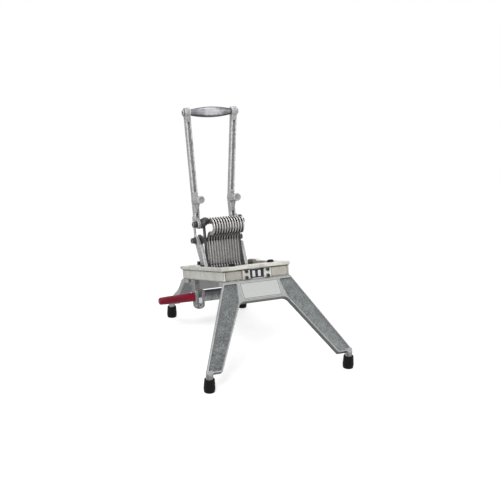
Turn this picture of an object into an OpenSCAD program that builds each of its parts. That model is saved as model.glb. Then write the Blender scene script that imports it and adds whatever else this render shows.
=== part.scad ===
// Hand slicer for produce: a sloping deck on splayed legs, a fixed comb of blades
// and a lever whose hooked tines push the produce down between the blades.
// The origin lies on the table, midway between the feet; -Y faces the user.

/* [Deck casting] */
// Length of the deck along its slope
deck_len = 285; // [275:1:300]
// Width over the deck's side walls
deck_w = 160; // [154:1:168]
// Height of the deck's walls
deck_h = 32; // [30:1:38]
// Thickness of the deck's walls
deck_wall = 8; // [7:0.5:9]
// Thickness of the deck's top plates
deck_top = 6; // [4:0.5:7]
// Overhang of the lip round the deck's top
lip_out = 4; // [2:0.5:6]
// Thickness of the lip
lip_t = 8; // [6:0.5:9]
// Corner radius of the deck
deck_r = 3; // [2:0.5:4]
// Slope of the deck, down to the rear, in degrees
deck_tilt = 15.3; // [12:0.1:18]
// Height of the deck's centre above the table
deck_z = 179.7; // [172:0.1:195]
// Distance of the deck's centre behind the middle of the feet
deck_y = 56.5; // [45:0.5:65]
// Depth of the front cross member
front_d = 40; // [36:1:44]
// Depth of the closed rear shelf
shelf_d = 70; // [64:1:78]
// Width of the raised centre of the front face
face_boss_w = 70; // [64:1:80]
// Depth of the pockets in the front face
pocket_d = 3; // [1:0.5:4]
// Height of the pockets in the front face
pocket_h = 22; // [16:1:23]
// Width of the rim between a pocket and the deck's corner
pocket_rim = 4; // [3.5:0.5:8]
// Width of the window in the front face
window_w = 34; // [28:1:38]
// Height of the window in the front face
window_h = 21; // [18:1:22]
// Height of the raised pads over the pivot
pad_h = 3.5; // [3:0.5:6]
// Length of the raised pads over the pivot
pad_l = 54; // [46:1:60]

/* [Legs and feet] */
// Distance between the front and rear feet, beyond the deck's length
leg_spread = 157.5; // [140:0.5:175]
// Half the distance between the front feet
front_foot_x = 165; // [155:1:175]
// Half the distance between the rear feet
rear_foot_x = 98; // [92:1:110]
// Radius of a foot at the table
foot_r = 12.5; // [11:0.5:14]
// Height of a foot
foot_h = 29; // [24:1:32]
// Thickness of rubber under the leg's post
foot_sole = 8; // [5:1:12]
// Radius of the post inside a foot
post_r = 8; // [6:0.5:9]
// Height at which the legs end, over their feet
leg_end_z = 38; // [36:1:46]
// Thickness of the leg panels at the rim
panel_t = 14; // [12:1:18]
// Width of the rim round the recessed faces
rim_w = 3; // [2.5:0.5:6]
// Height of the rim above the recessed faces
rim_top = 10; // [8:0.5:12]
// Depth of the recessed faces
recess_d = 4; // [2:0.5:5]
// Height of the web between the front legs
front_web_h = 54; // [50:1:60]
// Half the width of the arch under the front web
front_arch_x = 56; // [50:1:60]
// Width of a front leg at its foot
front_leg_w = 36; // [32:1:40]
// Height of the web between the rear legs
rear_web_h = 42; // [36:1:46]
// Half the width of the arch under the rear web
rear_arch_x = 50; // [44:1:54]
// Width of a rear leg at its foot
rear_leg_w = 30; // [26:1:34]
// Length of the name plate
plate_w = 94; // [84:1:98]
// Distance of the name plate below the deck
plate_drop = 9; // [7:0.5:12]
// Width of the border under the name plate
plate_edge = 4; // [3:0.5:6]
// Thickness of the name plate
plate_t = 1.2; // [0.8:0.1:2]

/* [Blades] */
// Number of pusher tines, one between each pair of blades
tine_count = 12; // [8:1:12]
// Thickness of a blade
blade_t = 1; // [0.6:0.1:1.2]
// Height of a blade
blade_h = 10; // [8:0.5:12]
// Length of the sharpened bevel on a blade
blade_edge = 2.5; // [1:0.5:4]
// Depth of the blade's edge below the deck's top
blade_n = 15; // [14.5:0.5:17]
// Depth of the blade bars from front to back
blade_bar_t = 8; // [7:0.5:9]
// Height of the blade bars
blade_bar_h = 24; // [20:1:26]

/* [Lever] */
// Depth of the pivot below the deck's top
pivot_drop = 6; // [5:0.5:7]
// Radius of the pivot shaft
shaft_r = 5; // [4.5:0.25:5.5]
// Running clearance between shaft and bush
shaft_play = 0.05; // [0.02:0.01:0.09]
// Wall thickness of a pivot bush
bush_wall = 2; // [1.5:0.25:3]
// Height of the grip above the pivot
grip_h = 375; // [350:1:390]
// Distance of the grip behind the pivot
grip_back = 5; // [0:1:15]
// Half the distance between the arm heads
grip_x = 60.5; // [56:0.5:64]
// Radius of the grip at the middle
grip_r = 13; // [10:0.5:14]
// Radius of the grip at its ends
grip_end_r = 7; // [6:0.5:8]
// Radius of the arm heads
head_r = 12; // [10:0.5:14]
// Length of the thrust collars beside the arms
collar_l = 13.2; // [11:0.1:15]
// Distance of the arms' bars inside their foot plates
bar_in = 5; // [3:0.5:6]
// Distance of the bumpers from the deck's front
bumper_set = 28; // [24:1:30]
// Radius of a bumper
bumper_r = 8; // [6:0.5:9]
// Height of a bumper
bumper_h = 6; // [4:0.5:7]
// Radius of a stop peg
peg_r = 9.5; // [8:0.5:10]
// Reach of the stop peg's tip ahead of the pivot
peg_reach = 4; // [2:0.5:5]
// Width of an arm's bar
bar_w = 14; // [13:0.5:16]
// Depth of an arm's bar
bar_d = 17; // [15:0.5:19]
// Distance of the arms behind the pivot at their stop pegs
bar_back = 41; // [38:1:44]
// Width of the groove in an arm's front
groove_w = 6; // [5:0.5:7]
// Depth of the groove in an arm's front
groove_d = 5; // [3:0.5:7]
// Thickness of an arm's foot plate
arm_plate_t = 8; // [6:0.5:8.5]
// Width of the strap between an arm's bolts
strap_w = 9; // [8:0.5:12]
// Thickness of the strap between an arm's bolts
strap_t = 4; // [3:0.5:5]
// Radius of the arm's eye round the pivot
arm_eye_r = 12.5; // [11:0.5:13]
// Height of the lower bolts above the pivot
low_bolt_h = 67; // [62:1:72]
// Height of the upper bolts above the pivot
top_bolt_h = 106; // [100:1:110]
// Distance of the upper bolts behind the pivot
top_bolt_back = 18; // [14:1:20]
// Radius of a bolt's shank
bolt_r = 4; // [3:0.25:4.5]
// Radius of a bolt's head
bolt_head_r = 7; // [6:0.25:8]
// Height of a bolt's head
bolt_head_h = 8; // [6:0.5:9]
// Thickness of the washers under the bolts' heads
washer_t = 2.5; // [1.5:0.5:3]

/* [Pusher] */
// Thickness of a tine
tine_t = 3; // [2:0.1:3.2]
// Width of a tine's strip
tine_w = 10; // [8:0.5:11]
// Height of the top rod above the pivot
rod_h = 112; // [108:0.5:114]
// Distance of the top rod ahead of the pivot
rod_ahead = 12; // [10:0.5:14]
// Radius of the top rod
rod_r = 4; // [3.5:0.25:4.5]
// Radius of the tine's hook, at the strip's middle
hook_r = 15; // [13:0.5:16]
// Distance of the hook's centre ahead of the pivot
hook_ahead = 32; // [29:0.5:36]
// Radius of the tine's neck, at the strip's middle
neck_r = 20; // [17:0.5:22]
// Thickness of an end plate's bar
end_plate_t = 4; // [3:0.5:5]
// Width of an end plate's bar
end_bar_w = 10; // [9:0.5:12]

/* [Hold-down handle] */
// Distance of the handle's rod ahead of the deck's rear end
handle_set = 65.5; // [60:0.5:72]
// Drop of the handle's rod below the deck's walls
handle_drop = 43; // [38:1:48]
// Radius of the handle's rod
handle_rod_r = 7; // [6:0.5:8]
// Radius of the sleeve on the rod, between the hangers
sleeve_r = 14; // [11:0.5:14.5]
// Radius of the handle's grip beside the hanger
handle_grip_r = 10.5; // [9:0.5:11]
// Radius of the handle's grip at its tip
handle_tip_r = 8.5; // [8.25:0.25:9]
// Length of the handle's grip
handle_grip_l = 89; // [80:1:96]
// Width of a hanger's clamp
clamp_w = 23; // [20:1:25]
// Width of a hanger's stem
stem_w = 14; // [12:1:16]
// Depth of a hanger's stem
stem_d = 22; // [18:1:26]

/* [Hidden] */
$fn = 64;
slip = 0.1;
proud = 0.3;
over = 1;
foot_base = deck_len + leg_spread;
front_y = -deck_len / 2;
rear_y = deck_len / 2;
inner_x = deck_w / 2 - deck_wall;
shelf_y = rear_y - shelf_d;
opening_y = front_y + front_d;
wall_back_y = front_y + deck_wall;
pocket_n = -(deck_h + lip_t) / 2;
window_n = pocket_n;
pocket_x1 = deck_w / 2 - pocket_rim;
face_screw_x = (face_boss_w + window_w) / 4;
face_screw_dn = window_h / 3;
face_screw_r = 2.5;
face_head_r = 4;
face_head_h = 3;
corner_boss = 16;
leg_bolt_x = inner_x - corner_boss / 2;
leg_bolt_y = deck_len / 2 - deck_wall - corner_boss * 0.8;
leg_bolt_r = 3;
leg_head_r = 5.4;
leg_head_h = 5;
flange_t = 10;
flange_d = 36;
plate_h = front_web_h - plate_drop - plate_edge;
bush_flange_t = 2;
swing_gap = 1.1;
collar_x1 = inner_x - bush_flange_t - proud;
plate_x1 = collar_x1 - collar_l - slip;
plate_x0 = plate_x1 - arm_plate_t;
plate_mid = (plate_x0 + plate_x1) / 2;
peg_x = plate_mid - bar_in;
end_x1 = plate_x0 - bush_flange_t;
end_x0 = end_x1 - end_plate_t;
block_x0 = end_x0 - swing_gap / 3;
blade_count = tine_count + 1;
blade_span = 2 * (end_x0 - swing_gap) - blade_t;
pitch = blade_span / tine_count;
bar_end = 6;
blade_bar_x = blade_span / 2 + bar_end;
blade_bar_n = -deck_top - slip;
blade_slot = blade_bar_t * 0.6;
screw_hold = blade_bar_t - blade_slot;
blade_front = wall_back_y + blade_bar_t - blade_slot;
blade_rear = shelf_y - blade_bar_t + blade_slot;
clamp_bar_w = 7;
clamp_bar_h = 14;
clamp_bar_t = deck_wall * 0.6;
bar_screw_x = blade_bar_x - 2 * clamp_bar_w;
pivot_n = -pivot_drop;
pivot_y = shelf_y - blade_bar_t - arm_eye_r - 2;
bush_r = shaft_r + shaft_play + bush_wall;
bush_depth = deck_wall - 2;
bush_flange_r = bush_r + 2;
comb_x = ((tine_count - 1) * pitch + tine_t) / 2;
collar_r = shaft_r + 3;
tine_eye_r = shaft_r + 4;
rod_eye_r = rod_r + 4;
spacer_r = shaft_r + 1.5;
rod_spacer_r = rod_r + 2;
neck_h = rod_h - 2 * hook_r - neck_r;
hook_h = rod_h - hook_r;
bumper_y = front_y + bumper_set;
peg_h = pivot_y - bumper_y;
low_bolt = [-(bar_back - 2), low_bolt_h];
top_bolt = [-top_bolt_back, top_bolt_h];
top_rod_at = [rod_ahead, rod_h];
lug_r = bolt_head_r + 4;
low_lug_r = bolt_head_r + 2.5;
strap_r = strap_w / 2;
strap_back = 3;
washer_r = bolt_head_r + 2;
knee_h = top_bolt_h + lug_r + strap_r;
knee = [-bar_back, knee_h];
knee_pt = [peg_x, -bar_back, knee_h - strap_r];
peg_pt = [peg_x, -bar_back, peg_h];
grip_pt = [grip_x, -grip_back, grip_h];
heel_h = 10;
heel_l = 14;
heel_w = 12;
grip_half = grip_x - bar_w / 2;
grip_bore = 30;
grip_head_h = 4;
pinch_r = 3;
pinch_head_r = 5;
pinch_head_h = 4;
handle_n = -deck_h - handle_drop;
rod_in = handle_grip_l * 0.8;
handle_y = rear_y - handle_set;
clamp_r = sleeve_r + 2;
clamp_lug_r = pinch_head_r + 4.5;
clamp_x1 = deck_w / 2 - 2;
clamp_x0 = clamp_x1 - clamp_w;
clamp_mid = (clamp_x0 + clamp_x1) / 2;
clamp_slot = 9;
slot_d = clamp_r - handle_rod_r - 3;
pinch_n = handle_n - handle_rod_r - 14;
pinch_seat = clamp_lug_r * 0.8;
pad_n1 = handle_n - 2;
pad_n0 = pinch_n + pinch_head_r + 1;
arc_steps = 8;
cast_r = 3;
toe_r = 4;
front_arch_r = 16;
rear_arch_r = 18;
hip_out = 6;
hip_r = 45;
hip_face_r = 20;
grip_blend_r = 20;
grip_tip_r = 5;
cast_grey = [0.62, 0.64, 0.65];
deck_grey = [0.78, 0.78, 0.75];
steel = [0.75, 0.76, 0.78];
dark_steel = [0.25, 0.25, 0.28];
black_rubber = [0.06, 0.06, 0.06];
crimson = [0.62, 0.08, 0.17];

// A point of the deck's own frame, given as distance back and height over its top, as row Y and Z
function deck_pt(y, n) = [deck_y + y * cos(deck_tilt) + n * sin(deck_tilt),
                          deck_z - y * sin(deck_tilt) + n * cos(deck_tilt)];
function unit(v) = v / norm(v);
function wrap(a) = a > 180 ? a - 360 : a < -180 ? a + 360 : a;
function left_of(v) = [-v[1], v[0]];
// One corner q of an outline between p and s, as an arc of radius r
function corner(p, q, s, r) =
    let (a = unit(p - q), b = unit(s - q), half = acos(a * b) / 2, c = q + unit(a + b) * r / sin(half),
         from = q + a * r / tan(half) - c, to = q + b * r / tan(half) - c,
         a0 = atan2(from[1], from[0]), turn = wrap(atan2(to[1], to[0]) - a0))
    [for (i = [0:arc_steps]) c + r * [cos(a0 + turn * i / arc_steps), sin(a0 + turn * i / arc_steps)]];
// An outline with each corner rounded by its own radius, 0 for a sharp one
function rounded(pts, radii) = [for (i = [0:len(pts) - 1])
    let (p = pts[(i + len(pts) - 1) % len(pts)], s = pts[(i + 1) % len(pts)])
    each (radii[i] > 0 ? corner(p, pts[i], s, radii[i]) : [pts[i]])];
// An anticlockwise outline drawn in by d on every side
function inset(pts, d) = [for (i = [0:len(pts) - 1])
    let (p = pts[(i + len(pts) - 1) % len(pts)], s = pts[(i + 1) % len(pts)],
         n1 = left_of(unit(pts[i] - p)), n2 = left_of(unit(s - pts[i])))
    pts[i] + (n1 + n2) * d / (1 + n1 * n2)];

module on_deck() {
    translate([0, deck_y, deck_z]) rotate([-deck_tilt, 0, 0]) children();
}

module on_lever() {
    on_deck() translate([0, pivot_y, pivot_n]) children();
}

module both_sides() {
    children();
    mirror([1, 0, 0]) children();
}

// Extrudes an outline drawn as (forward, up) across the machine, from x0 to x1
module across(x0, x1) {
    translate([x1, 0, 0]) rotate([90, 0, -90]) linear_extrude(x1 - x0) children();
}

// A round bar along X from x0 to x1, at a point given as (forward, up)
module cross_bar(r, x0, x1, at = [0, 0]) {
    translate([x0, -at[0], at[1]]) rotate([0, 90, 0]) cylinder(r = r, h = x1 - x0);
}

// A ring along X from x0 to x1
module cross_ring(r, bore, x0, x1, at = [0, 0]) {
    difference() {
        cross_bar(r, x0, x1, at);
        cross_bar(bore, x0 - over, x1 + over, at);
    }
}

module block(x0, x1, y0, y1, z0, z1) {
    translate([x0, y0, z0]) cube([x1 - x0, y1 - y0, z1 - z0]);
}

module round_rect(w, l, r) {
    square([w - 2 * r, l], center = true);
    square([w, l - 2 * r], center = true);
    for (x = [-1, 1])
        for (y = [-1, 1])
            translate([x * (w / 2 - r), y * (l / 2 - r)]) circle(r);
}

// Two discs joined by their outer tangents
module link(p, rp, q, rq) {
    d = q - p;
    dir = atan2(d[1], d[0]);
    lean = acos((rp - rq) / norm(d));
    translate(p) circle(rp);
    translate(q) circle(rq);
    polygon([p + rp * [cos(dir + lean), sin(dir + lean)], q + rq * [cos(dir + lean), sin(dir + lean)],
             q + rq * [cos(dir - lean), sin(dir - lean)], p + rp * [cos(dir - lean), sin(dir - lean)]]);
}

// A screw pointing along +Z, with a hexagon socket in the head below
module headed_screw(r, length, head_r, head_h) {
    cylinder(r = r, h = length);
    translate([0, 0, -head_h]) difference() {
        cylinder(r = head_r, h = head_h);
        translate([0, 0, -over]) cylinder(r = head_r * 0.5, h = head_h * 0.5 + over, $fn = 6);
    }
}

module at_face_screws() {
    for (x = [-1, 1])
        for (n = [-1, 1])
            translate([x * face_screw_x, front_y, window_n + n * face_screw_dn])
                rotate([-90, 0, 0]) children();
}

module at_bar_screws() {
    for (x = [-1, 1])
        translate([x * bar_screw_x, shelf_y + deck_top, blade_bar_n - blade_bar_h / 2])
            rotate([90, 0, 0]) children();
}

module at_leg_bolts() {
    for (x = [-1, 1])
        for (y = [-1, 1])
            translate([x * leg_bolt_x, y * leg_bolt_y, -deck_h - flange_t]) children();
}

module deck_shell() {
    difference() {
        union() {
            translate([0, 0, -deck_h]) linear_extrude(deck_h) round_rect(deck_w, deck_len, deck_r);
            translate([0, lip_out / 2, -lip_t]) linear_extrude(lip_t)
                round_rect(deck_w + 2 * lip_out, deck_len + lip_out, deck_r);
        }
        block(-inner_x, inner_x, opening_y, shelf_y, -deck_h - over, over);
        block(-inner_x, inner_x, wall_back_y, opening_y + over, -deck_h - over, -deck_top);
        block(-inner_x, inner_x, shelf_y + deck_top, rear_y - deck_wall, -deck_h - over, -deck_top);
        for (x = [-1, 1])
            translate([x * (face_boss_w / 2 + pocket_x1) / 2, front_y, pocket_n]) rotate([90, 0, 0])
                translate([0, 0, -pocket_d]) linear_extrude(pocket_d + over)
                    round_rect(pocket_x1 - face_boss_w / 2, pocket_h, 1);
        translate([0, front_y - over, window_n]) rotate([-90, 0, 0])
            linear_extrude(deck_wall + 2 * over) round_rect(window_w, window_h, 1);
    }
}

// Raised pad on a side wall, over the pivot
module pivot_pad() {
    top_l = pad_l - 3 * pad_h;
    translate([0, pivot_y, 0])
        across(inner_x, deck_w / 2 + lip_out)
            polygon([[-pad_l / 2, -lip_t], [pad_l / 2, -lip_t], [pad_l / 2, 0], [top_l / 2, pad_h],
                     [-top_l / 2, pad_h], [-pad_l / 2, 0]]);
}

module deck_frame() {
    color(deck_grey) on_deck() difference() {
        union() {
            deck_shell();
            both_sides() pivot_pad();
            for (y = [-1, 1])
                both_sides()
                    translate([leg_bolt_x, y * leg_bolt_y, -deck_h])
                        linear_extrude(deck_h - deck_top / 2)
                            square([corner_boss, 2 * (rear_y - deck_wall - leg_bolt_y)], center = true);
        }
        both_sides() cross_bar(bush_r + slip, inner_x - over, inner_x + bush_depth, [-pivot_y, pivot_n]);
        at_face_screws() translate([0, 0, -over]) cylinder(r = face_screw_r + slip, h = deck_wall + 2 * over);
        at_bar_screws() translate([0, 0, -over]) cylinder(r = face_screw_r + slip, h = deck_top + 2 * over);
        at_leg_bolts() cylinder(r = leg_bolt_r + slip, h = flange_t + deck_h - deck_top);
        both_sides() translate([peg_x, bumper_y, -deck_top - over])
            cylinder(r = bumper_r / 2 + slip, h = deck_top + 2 * over);
    }
}

// Top of a leg panel and its feet's posts, as distance from the middle and height
front_top = deck_pt(front_y + deck_wall, -deck_h);
rear_top = deck_pt(rear_y - deck_wall, -deck_h);
front_drop = [foot_base / 2 + front_top[0], front_top[1] - leg_end_z];
rear_drop = [foot_base / 2 - rear_top[0], rear_top[1] - leg_end_z];
front_leg_l = norm(front_drop);
rear_leg_l = norm(rear_drop);
front_lean = atan2(front_drop[0], front_drop[1]);
rear_lean = atan2(rear_drop[0], rear_drop[1]);
panel_rise = 24;
front_out_x = front_foot_x + post_r;
rear_out_x = rear_foot_x + post_r + 1;
top_x = deck_w / 2;
rear_knee = [top_x + hip_out, -rear_leg_l * 0.52];

face_v = rim_w - rim_top;
front_edge_x = top_x - (front_out_x - top_x) * face_v / front_leg_l;
front_leg = [[plate_w / 2 + 1, face_v], [front_arch_x, -front_web_h],
             [front_out_x - front_leg_w, -front_leg_l], [front_out_x, -front_leg_l],
             [front_edge_x, face_v]];
rear_leg = [[rear_arch_x, face_v], [rear_arch_x, -rear_web_h], [rear_out_x - rear_leg_w, -rear_leg_l],
            [rear_out_x, -rear_leg_l], rear_knee, [top_x, face_v]];

// An outline given for the right half from the arch upwards, closed by its mirror image
module both_halves(half, radii) {
    back = [len(half) - 1:-1:0];
    polygon(rounded(concat(half, [for (i = back) [-half[i][0], half[i][1]]]),
                    concat(radii, [for (i = back) radii[i]])));
}

module front_outline() {
    both_halves([[front_arch_x, -front_web_h], [front_out_x - front_leg_w, -front_leg_l],
                 [front_out_x, -front_leg_l], [top_x, 0], [top_x, panel_rise]],
                [front_arch_r, toe_r, toe_r, 0, 0]);
}

module rear_outline() {
    both_halves([[rear_arch_x, -rear_web_h], [rear_out_x - rear_leg_w, -rear_leg_l],
                 [rear_out_x, -rear_leg_l], rear_knee, [top_x, panel_rise]],
                [rear_arch_r, toe_r, toe_r, hip_r, 0]);
}

// Stands a panel's outline on its slope, with its outer face along +Z of the outline
module on_panel(top, lean) {
    translate([0, top[0], top[1]]) rotate([90 - lean, 0, 0]) children();
}

// A leg panel with its bolting flanges and the posts for its feet, seen from the outside
module leg_panel(top, lean, length, foot_x) {
    difference() {
        union() {
            difference() {
                on_panel(top, lean) translate([0, 0, -panel_t / 2]) linear_extrude(panel_t) children(0);
                on_panel(top, lean) both_sides() {
                    translate([0, 0, panel_t / 2 - recess_d]) linear_extrude(panel_t) children(1);
                    translate([0, 0, -panel_t / 2 - over]) linear_extrude(recess_d + over) children(1);
                }
            }
            both_sides() translate([foot_x, -foot_base / 2, foot_sole + slip])
                cylinder(r = post_r, h = leg_end_z + post_r - foot_sole);
        }
        on_panel(top, lean) translate([0, -length, panel_t / 2]) translate([-foot_x * 2, -panel_t * 4, 0])
            cube([foot_x * 4, length + panel_t * 8, panel_t * 8]);
        children(2);
    }
    children(3);
}

// Bolting flange under one end of a side wall, in the deck's frame
module leg_flange(side) {
    near = side * (rear_y - flange_d);
    far = side * (rear_y - deck_wall);
    difference() {
        both_sides()
            block(inner_x - corner_boss, deck_w / 2, min(near, far), max(near, far),
                  -deck_h - flange_t, -deck_h);
        at_leg_bolts() translate([0, 0, -over]) cylinder(r = leg_bolt_r + slip, h = flange_t + 2 * over);
    }
}

module over_deck() {
    on_deck() block(-deck_w * 2, deck_w * 2, -deck_len, deck_len, -deck_h, deck_len);
}

module front_leg_panel() {
    color(cast_grey)
        leg_panel(front_top, front_lean, front_leg_l, front_foot_x) {
            front_outline();
            polygon(rounded(inset(front_leg, rim_w), [cast_r, cast_r, cast_r, cast_r, cast_r]));
            over_deck();
            on_deck() leg_flange(-1);
        }
}

module rear_leg_panel() {
    color(cast_grey) mirror([0, 1, 0])
        leg_panel([-rear_top[0], rear_top[1]], rear_lean, rear_leg_l, rear_foot_x) {
            rear_outline();
            polygon(rounded(inset(rear_leg, rim_w), [cast_r, cast_r, cast_r, cast_r, hip_face_r, cast_r]));
            mirror([0, 1, 0]) over_deck();
            mirror([0, 1, 0]) on_deck() leg_flange(1);
        }
}

module name_plate() {
    color(steel) on_panel(front_top, front_lean)
        translate([0, -plate_drop - plate_h / 2, panel_t / 2])
            linear_extrude(plate_t) round_rect(plate_w, plate_h, cast_r);
}

// Rubber foot, a cup with a rounded sole pushed on its post
module foot(x, y) {
    color(black_rubber) translate([x, y, 0]) rotate_extrude()
        polygon(rounded([[0, 0], [foot_r - 1, 0], [foot_r, foot_h * 0.3], [foot_r - 1.5, foot_h],
                         [post_r + slip, foot_h], [post_r + slip, foot_sole], [0, foot_sole]],
                        [0, 2, 0, 1.2, 0, 0, 0]));
}

module front_left_foot() {
    foot(-front_foot_x, -foot_base / 2);
}

module front_right_foot() {
    foot(front_foot_x, -foot_base / 2);
}

module rear_left_foot() {
    foot(-rear_foot_x, foot_base / 2);
}

module rear_right_foot() {
    foot(rear_foot_x, foot_base / 2);
}

module leg_bolts() {
    color(steel) on_deck() at_leg_bolts()
        headed_screw(leg_bolt_r, flange_t + deck_h - 2 * deck_top, leg_head_r, leg_head_h);
}

// Domed bumper with a stem through the top plate
module bumper(side) {
    color(black_rubber) on_deck() translate([side * peg_x, bumper_y, 0]) {
        rotate_extrude()
            polygon(rounded([[0, 0], [bumper_r, 0], [bumper_r * 0.8, bumper_h], [0, bumper_h]],
                            [0, 0, 2.5, 0]));
        translate([0, 0, -deck_top]) cylinder(r = bumper_r / 2, h = deck_top);
    }
}

module left_bumper() {
    bumper(-1);
}

module right_bumper() {
    bumper(1);
}

module blade_section(t, h, edge) {
    polygon([[-t / 2, -h], [t / 2, -h], [t / 2, -edge], [0, 0], [-t / 2, -edge]]);
}

module at_blades() {
    for (i = [0:blade_count - 1])
        translate([-blade_span / 2 + i * pitch, 0, 0]) children();
}

module slicing_blades() {
    color(steel) on_deck() at_blades() translate([0, blade_rear, -blade_n]) rotate([90, 0, 0])
        linear_extrude(blade_rear - blade_front) blade_section(blade_t, blade_h, blade_edge);
}

// Bar with one slot for each blade, from y0 to y1
module blade_bar(y0, y1) {
    difference() {
        block(-blade_bar_x, blade_bar_x, y0, y1, blade_bar_n - blade_bar_h, blade_bar_n);
        at_blades() block(-blade_t / 2 - slip, blade_t / 2 + slip, blade_front - slip, blade_rear + slip,
                          -blade_n - blade_h - slip, over);
        at_face_screws() translate([0, 0, -over])
            cylinder(r = face_screw_r + slip, h = deck_wall + screw_hold + over);
        at_bar_screws() translate([0, 0, -over])
            cylinder(r = face_screw_r + slip, h = deck_top + screw_hold + over);
    }
}

module front_blade_bar() {
    color(dark_steel) on_deck() blade_bar(wall_back_y, wall_back_y + blade_bar_t);
}

module rear_blade_bar() {
    color(dark_steel) on_deck() blade_bar(shelf_y - blade_bar_t, shelf_y);
}

module tension_clamps() {
    color(steel) on_deck()
        for (x = [-pitch, pitch])
            translate([x, wall_back_y, window_n]) rotate([90, 0, 0])
                linear_extrude(clamp_bar_t) round_rect(clamp_bar_w, clamp_bar_h, 1.5);
}

module window_screws() {
    color(steel) on_deck() at_face_screws()
        headed_screw(face_screw_r, deck_wall + screw_hold - proud, face_head_r, face_head_h);
}

module rear_bar_screws() {
    color(steel) on_deck() at_bar_screws()
        headed_screw(face_screw_r, deck_top + screw_hold - proud, face_head_r, face_head_h);
}

// Flanged bush set in a side wall
module pivot_bush() {
    difference() {
        union() {
            cross_bar(bush_r, inner_x, inner_x + bush_depth);
            cross_bar(bush_flange_r, inner_x - bush_flange_t, inner_x);
        }
        cross_bar(shaft_r + shaft_play, inner_x - bush_flange_t - over, inner_x + bush_depth + over);
    }
}

module left_pivot_bush() {
    color("peru") on_lever() mirror([1, 0, 0]) pivot_bush();
}

module right_pivot_bush() {
    color("peru") on_lever() pivot_bush();
}

// Distance behind the pivot of the arm's rear edge, at height h over the pivot
function arm_rear(h) =
    let (edge = atan2(low_bolt[1], low_bolt[0]) + acos((arm_eye_r - low_lug_r) / norm(low_bolt)))
    (h * sin(edge) - arm_eye_r) / cos(edge);

module heel_pads() {
    pad_front = pivot_y + arm_rear(heel_h + pivot_drop) + proud;
    color(black_rubber) on_deck() both_sides() translate([plate_mid, 0, 0])
        block(-heel_w / 2, heel_w / 2, pad_front, pad_front + heel_l, 0, heel_h);
}

// A hanger's clamp, drawn from the side and from the front, round below in both views
module clamp_body() {
    top_n = handle_n + clamp_r;
    low_n = pinch_n - clamp_lug_r;
    side_r = clamp_lug_r * 0.9;
    front_r = clamp_w * 0.45;
    intersection() {
        across(clamp_x0, clamp_x1)
            polygon(rounded([[clamp_r, top_n], [-clamp_r, top_n],
                             [-clamp_lug_r, low_n], [clamp_lug_r, low_n]],
                            [cast_r, cast_r, side_r, side_r]));
        translate([0, clamp_r + over, 0]) rotate([90, 0, 0]) linear_extrude(2 * (clamp_r + over))
            polygon(rounded([[clamp_x0, low_n], [clamp_x1, low_n], [clamp_x1, top_n], [clamp_x0, top_n]],
                            [front_r, front_r, 0, 0]));
    }
}

// Hanger under a side wall: a stem, and a clamp round the rod with a slot in its front
module hanger_clamp() {
    difference() {
        union() {
            block(clamp_x1 - stem_w, clamp_x1, handle_y - stem_d / 2, handle_y + stem_d / 2,
                  handle_n, -deck_h);
            translate([0, handle_y, 0]) clamp_body();
        }
        cross_bar(handle_rod_r + slip, clamp_x0 - over, clamp_x1 + over, [-handle_y, handle_n]);
        block(clamp_mid - clamp_slot / 2, clamp_mid + clamp_slot / 2, handle_y - clamp_r - over,
              handle_y - clamp_r + slot_d, pad_n0, handle_n + clamp_r + over);
        translate([clamp_mid, handle_y, pinch_n]) rotate([90, 0, 0]) {
            cylinder(r = pinch_r + slip, h = 2 * clamp_r, center = true);
            translate([0, 0, pinch_seat]) cylinder(r = pinch_head_r + proud, h = clamp_r);
        }
    }
}

module left_hanger_clamp() {
    color(cast_grey) on_deck() mirror([1, 0, 0]) hanger_clamp();
}

module right_hanger_clamp() {
    color(cast_grey) on_deck() hanger_clamp();
}

module hold_down_rod() {
    color(dark_steel) on_deck()
        cross_bar(handle_rod_r, -clamp_x1 - rod_in, clamp_x1 + pinch_head_h, [-handle_y, handle_n]);
}

// Cast sleeve on the rod, between the hangers
module hold_down_sleeve() {
    color(cast_grey) on_deck()
        cross_ring(sleeve_r, handle_rod_r + slip, -clamp_x0 + slip, clamp_x0 - slip, [-handle_y, handle_n]);
}

// Steel pads in the slots of the clamps
module clamp_pads() {
    color(steel) on_deck() both_sides()
        block(clamp_mid - clamp_slot / 2 + slip, clamp_mid + clamp_slot / 2 - slip, handle_y - clamp_r + over,
              handle_y - clamp_r + slot_d, pad_n0 + slip, pad_n1);
}

// Moulded grip with a collar at the hanger, tapering to a rounded tip
module hold_down_grip() {
    waist = (handle_grip_r + handle_tip_r) / 2;
    collar = handle_grip_l * 0.15;
    color(crimson) on_deck() translate([-clamp_x1 - proud, handle_y, handle_n])
        rotate([0, -90, 0]) rotate_extrude()
            polygon(rounded([[handle_rod_r + slip, 0], [handle_grip_r, 0], [handle_grip_r, collar],
                             [waist, rod_in], [handle_tip_r, handle_grip_l], [0, handle_grip_l],
                             [0, rod_in + slip], [handle_rod_r + slip, rod_in + slip]],
                            [0, 1.5, grip_blend_r, grip_blend_r, grip_tip_r, 0, 0, 0]));
}

module pinch_bolts() {
    color(steel) on_deck() both_sides() translate([clamp_mid, handle_y - pinch_seat, pinch_n])
        rotate([-90, 0, 0]) headed_screw(pinch_r, pinch_seat + clamp_lug_r, pinch_head_r, pinch_head_h);
}

// Places a bar's own frame at p, with +Z running to q; points are (x, forward, up)
module along(p, q) {
    d = [q[0] - p[0], p[1] - q[1], q[2] - p[2]];
    translate([p[0], -p[1], p[2]]) rotate([-asin(d[1] / norm(d)), atan2(d[0], d[2]), 0]) children();
}

// Straight length of an arm with a round-ended groove in its front, from g0 to g1
module arm_bar(p, q, g0, g1) {
    along(p, q) difference() {
        linear_extrude(norm(q - p)) round_rect(bar_w, bar_d, cast_r);
        translate([0, -bar_d / 2 + groove_d, 0]) rotate([90, 0, 0]) linear_extrude(groove_d + over)
            link([0, g0], groove_w / 2, [0, g1], groove_w / 2);
    }
}

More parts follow.
